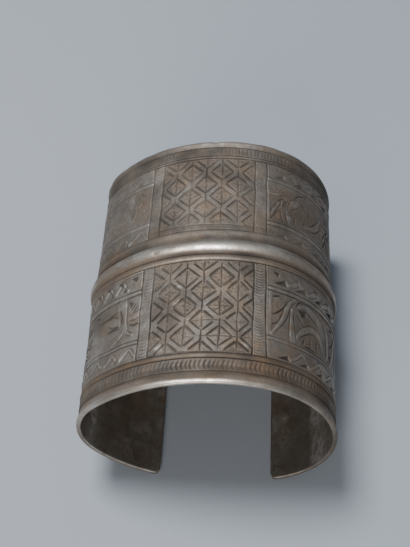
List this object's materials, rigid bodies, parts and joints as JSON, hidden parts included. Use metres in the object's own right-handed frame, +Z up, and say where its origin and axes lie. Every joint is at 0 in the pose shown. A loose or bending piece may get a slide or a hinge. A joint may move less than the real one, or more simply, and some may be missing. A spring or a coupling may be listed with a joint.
{
  "type": "open silver cuff bracelet",
  "caption": "Wide open cuff bracelet of sheet silver with rounded rims, a raised middle rib and chased bands, lying with its gap down.",
  "frame": {"origin": "centre of the bounding box at its base, on the surface that the two ends stand on, under the middle of the hollow", "axes": "+Z up, away from the gap; the hollow runs along Y, and the rim nearer to the viewer of the picture is at -Y; +X is the viewer's right"},
  "size_m": [0.0653, 0.0754, 0.048],
  "materials": {
    "aged_silver": "worn hand-worked silver with dark tarnish in the engraving"
  },
  "bodies": {
    "root": {"cuff": "aged_silver"}
  },
  "joints": []
}
